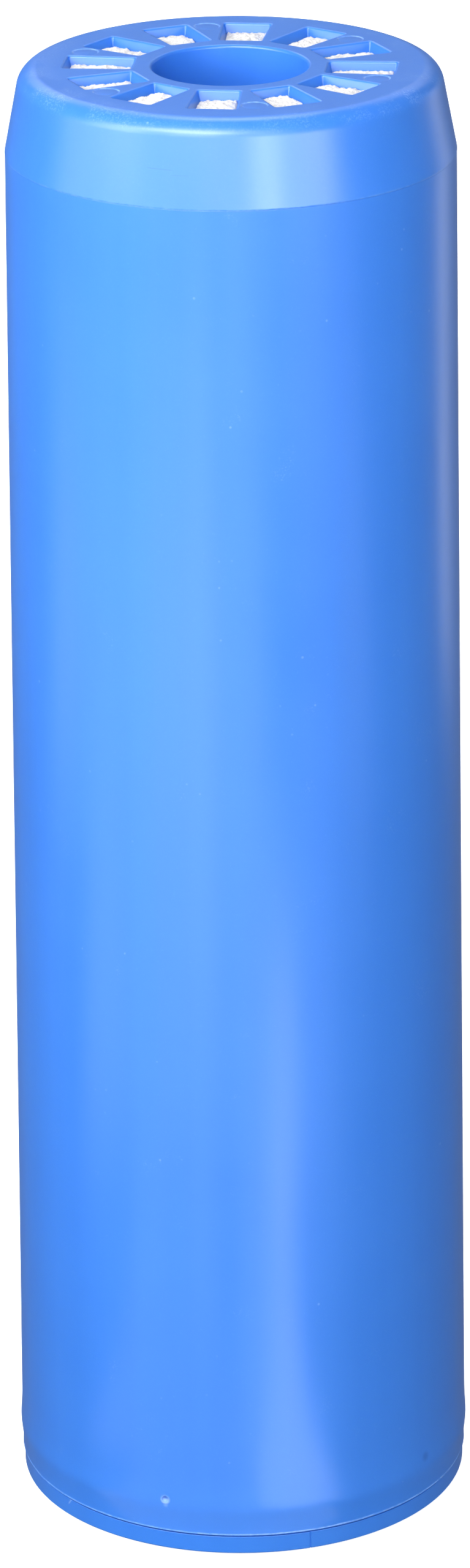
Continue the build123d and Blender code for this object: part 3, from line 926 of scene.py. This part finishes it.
# ribs that carry the support grid
rv, rf_ = [], []
for s in range(8):
    t0 = s * math.pi / 4
    c, sn = math.cos(t0), math.sin(t0)
    b = len(rv)
    for r, w, z in [
        (14.2, -0.9, 3.2), (34.8, -0.9, 3.2), (34.8, 0.9, 3.2), (14.2, 0.9, 3.2),
        (14.2, -0.7, 15.45), (34.8, -0.7, 15.45), (34.8, 0.7, 15.45), (14.2, 0.7, 15.45),
    ]:
        rv.append((r * c - w * sn, r * sn + w * c, z))
    rf_ += [tuple(b + i for i in f) for f in ((3, 2, 1, 0), (4, 5, 6, 7), (0, 1, 5, 4), (1, 2, 6, 5), (2, 3, 7, 6), (3, 0, 4, 7))]
ribs = obj_from("ribs", rv, rf_)
fix_normals(ribs)
boolean(foot, ribs, "UNION")
shade(foot, 35)
weighted(foot)
finish_piece(foot, "outlet_end_cap", M_FOOT)

# ----------------------------------------------------------------------------
# gasket
# ----------------------------------------------------------------------------
gp = [
    (13.5, 0.6), (16.4, 0.6), (16.7, 0.78), (17.0, 0.6), (19.6, 0.6), (19.9, 0.78), (20.2, 0.6),
    (23.0, 0.6), (23.05, 2.0), (23.0, 3.6), (13.5, 3.6), (13.45, 2.0),
]
gr = [0.4, 0.1, 0.1, 0.1, 0.1, 0.1, 0.1, 0.4, 0.6, 0.3, 0.3, 0.6]
V, F = lathe_grid(rounded(gp, gr, 4), angles_with(200))
wob = 0.03 * (vnoise(V / 6.0) - 0.5)
V[:, 2] += np.where(V[:, 2] > 3.3, -np.abs(wob), np.abs(wob))
gask = obj_from("outlet_washer", V, F)
fix_normals(gask)
shade(gask, 50)
finish_piece(gask, "outlet_gasket", M_RUBBER)

# ----------------------------------------------------------------------------
# support grid: the frame's own shape with its material
# ----------------------------------------------------------------------------
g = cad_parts["outlet_support_grid"]
if not g.material_slots:
    g.data.materials.append(M_GRID)
for s in g.material_slots:
    s.material = M_GRID

# ----------------------------------------------------------------------------
# floor
# ----------------------------------------------------------------------------
bm = bmesh.new()
bmesh.ops.create_circle(bm, cap_ends=True, segments=96, radius=30.0)
fme = bpy.data.meshes.new("studio_floor")
bm.to_mesh(fme)
bm.free()
floor = bpy.data.objects.new("studio_floor", fme)
floor.location = (0, 0, -0.0002)
bpy.context.scene.collection.objects.link(floor)
fm = Tree("pale_floor")
fm.set(Roughness=0.8)
fm.bsdf.inputs["Base Color"].default_value = (0.92, 0.92, 0.92, 1)
geo = fm.node("ShaderNodeNewGeometry")
tr = fm.node("ShaderNodeBsdfTransparent")
mixs = fm.node("ShaderNodeMixShader")
fm.link(geo.outputs["Backfacing"], mixs.inputs[0])
fm.link(fm.bsdf.outputs[0], mixs.inputs[1])
fm.link(tr.outputs[0], mixs.inputs[2])
fm.link(mixs.outputs[0], fm.out.inputs[0])
fm.bsdf.inputs["Emission Color"].default_value = (1.0, 1.0, 1.0, 1)
fm.bsdf.inputs["Emission Strength"].default_value = 0.80
fme.materials.append(fm.mat)
floor.visible_glossy = False
floor.visible_diffuse = False
floor.visible_shadow = False

# ----------------------------------------------------------------------------
# light
# ----------------------------------------------------------------------------
world = bpy.data.worlds.new("studio")
bpy.context.scene.world = world
world.use_nodes = True
wbg = world.node_tree.nodes["Background"]
wbg.inputs["Color"].default_value = (1.0, 1.0, 1.0, 1)
wbg.inputs["Strength"].default_value = 0.189

# soft boxes: name, angle from the camera (+ right), elevation, distance, width, height, aim height,
# radiance, and whether it is only there to be reflected
LIGHTS = [
    ("strip_left", -27, 37, 1.3, 0.95, 0.13, 0.245, 42.0, True),
    ("back_180", 180, 19, 1.3, 0.45, 0.26, 0.245, 0.34, False),
    ("soft_m160_35", -160, 35, 1.3, 0.5, 0.5, 0.15, 1.826, False),
    ("soft_m40_8", -40, 8, 1.3, 0.5, 0.5, 0.15, 2.398, False),
    ("soft_m60_8", -60, 8, 1.3, 0.5, 0.5, 0.15, 1.362, False),
    ("soft_m85_8", -85, 8, 1.3, 0.5, 0.5, 0.15, 3.161, False),
    ("soft_0_8", 0, 8, 1.3, 0.5, 0.5, 0.15, 4.056, False),
    ("soft_15_35", 15, 35, 1.3, 0.5, 0.5, 0.15, 4.469, False),
    ("soft_160_35", 160, 35, 1.3, 0.5, 0.5, 0.15, 1.038, False),
    ("soft_180_62", 180, 62, 1.3, 0.5, 0.5, 0.15, 4.8, False),
    ("soft_42_8", 42, 8, 1.3, 0.5, 0.5, 0.15, 8.0, False),
    ("edge_128", 128, 0, 0.27, 0.06, 0.12, 0.118, 1.36, True),
    ("strip_18", 17.5, 5.7, 1.3, 0.22, 0.36, 0.24, 20.0, True),
    ("strip_26", 25, 5.7, 1.3, 0.18, 0.36, 0.24, 7.5, True),
    ("high_m15", -15, 40, 0.55, 0.28, 0.28, 0.26, 4.49, False),
    ("near_m20", -20, 20, 0.5, 0.24, 0.24, 0.24, 6.867, False),
    ("near_m60", -60, 20, 0.5, 0.24, 0.24, 0.24, 10.563, False),
    ("rim_135", 135, -1, 1.2, 0.3, 0.5, 0.22, 1.308, False),
]
# bright paper lying round the foot, seen only in reflection:
# name, angle from the camera, inner and outer radius, width in degrees, radiance
CARDS = [
    ("card_m18_19", -18, 0.19, 0.38, 22, 1.731),
    ("card_m18_38", -18, 0.38, 0.68, 22, 4.336),
    ("card_m18_5", -18, 0.0385, 0.19, 22, 0.998),
    ("card_m42_19", -42, 0.19, 0.38, 22, 1.632),
    ("card_m42_38", -42, 0.38, 0.68, 22, 3.708),
    ("card_m42_5", -42, 0.06, 0.19, 22, 1.137),
    ("card_m66_19", -66, 0.19, 0.38, 22, 1.821),
    ("card_m66_38", -66, 0.38, 0.68, 22, 2.271),
    ("card_m90_38", -90, 0.38, 0.68, 22, 1.857),
    ("card_22_19", 20.5, 0.19, 0.30, 15, 7.0),
    ("card_22_5", 17.5, 0.050, 0.19, 13, 4.9),
    ("card_38_19", 38, 0.19, 0.38, 15, 1.1),
    ("card_60_38", 60, 0.38, 0.68, 15, 1.661),
    ("card_6_19", 6, 0.19, 0.38, 15, 1.477),
    ("card_6_38", 6, 0.38, 0.68, 15, 2.567),
    ("card_6_5", 6, 0.0385, 0.19, 15, 1.399),
]


def add_light(name, a, el, dist, w, h, aim, rad, gloss=False):
    ld = bpy.data.lights.new(name, "AREA")
    ld.shape = "RECTANGLE"
    ld.size, ld.size_y = w, h
    ld.energy = rad * math.pi * w * h
    ob = bpy.data.objects.new(name, ld)
    p, e = plan(a), math.radians(el)
    d = Vector((math.cos(p) * math.cos(e), math.sin(p) * math.cos(e), math.sin(e)))
    ob.location = Vector((0, 0, aim)) + d * dist
    ob.rotation_mode = "QUATERNION"
    ob.rotation_quaternion = d.to_track_quat("Z", "Y")
    ob.visible_camera = False
    if gloss:
        only_reflected(ob)
    bpy.context.scene.collection.objects.link(ob)
    return ob


def only_reflected(ob):
    ob.visible_diffuse = False
    ob.visible_transmission = False
    ob.visible_volume_scatter = False


def add_card(name, a, r0, r1, deg, rad):
    mid = (r0 + r1) / 2
    w = mid * math.radians(deg)
    ld = bpy.data.lights.new(name, "AREA")
    ld.shape = "RECTANGLE"
    ld.size, ld.size_y = w, r1 - r0
    ld.energy = rad * math.pi * w * (r1 - r0)
    ob = bpy.data.objects.new(name, ld)
    p = plan(a)
    ob.location = (mid * math.cos(p), mid * math.sin(p), 0.003)
    ex_, ez_ = Vector((-math.sin(p), math.cos(p), 0)), Vector((0, 0, -1))
    ob.rotation_mode = "QUATERNION"
    ob.rotation_quaternion = Matrix((ex_, ez_.cross(ex_), ez_)).transposed().to_quaternion()
    ob.visible_camera = False
    only_reflected(ob)
    bpy.context.scene.collection.objects.link(ob)


for row in LIGHTS:
    add_light(*row)
# fills for the sides the front view does not show
for row in (
    ("fill_behind", 180, 5, 1.3, 0.9, 0.6, 0.12, 6.0),
    ("fill_under", 0, -88, 0.8, 0.3, 0.3, 0.0, 5.0),
):
    add_light(*row).visible_glossy = False
for row in CARDS:
    add_card(*row)

# ----------------------------------------------------------------------------
# camera: the photograph's own view, 146.8 mm on a 36 mm long side
# ----------------------------------------------------------------------------
D, EL, FPX, ROLL, PX, PY = 1.0688, math.radians(21.211), 10457.4, math.radians(-0.575), 387.15, 1282.8
a = math.radians(VIEW_AZ)
rt = Vector((math.cos(a), math.sin(a), 0))
fwd_h = Vector((-math.sin(a), math.cos(a), 0))
fw = fwd_h * math.cos(EL) + Vector((0, 0, -math.sin(EL)))
up = fwd_h * math.sin(EL) + Vector((0, 0, math.cos(EL)))
ir = rt * math.cos(ROLL) + up * math.sin(ROLL)
iu = up * math.cos(ROLL) - rt * math.sin(ROLL)
cd = bpy.data.cameras.new("camera")
cd.sensor_width = 36.0
cd.lens = FPX * 36.0 / 2560.0
cd.shift_x = (383.5 - PX) / 2560.0
cd.shift_y = (PY - 1280.0) / 2560.0
cd.dof.use_dof = False
cd.clip_start, cd.clip_end = 0.05, 50.0
cam = bpy.data.objects.new("camera", cd)
cam.matrix_world = Matrix(
    (
        (ir.x, iu.x, -fw.x, 0),
        (ir.y, iu.y, -fw.y, 0),
        (ir.z, iu.z, -fw.z, 0),
        (0, 0, 0, 1),
    )
)
cam.location = Vector((0, 0, 0.124)) - fw * D
bpy.context.scene.collection.objects.link(cam)
bpy.context.scene.camera = cam
bpy.context.scene.view_settings.view_transform = "Standard"
bpy.context.scene.view_settings.look = "None"
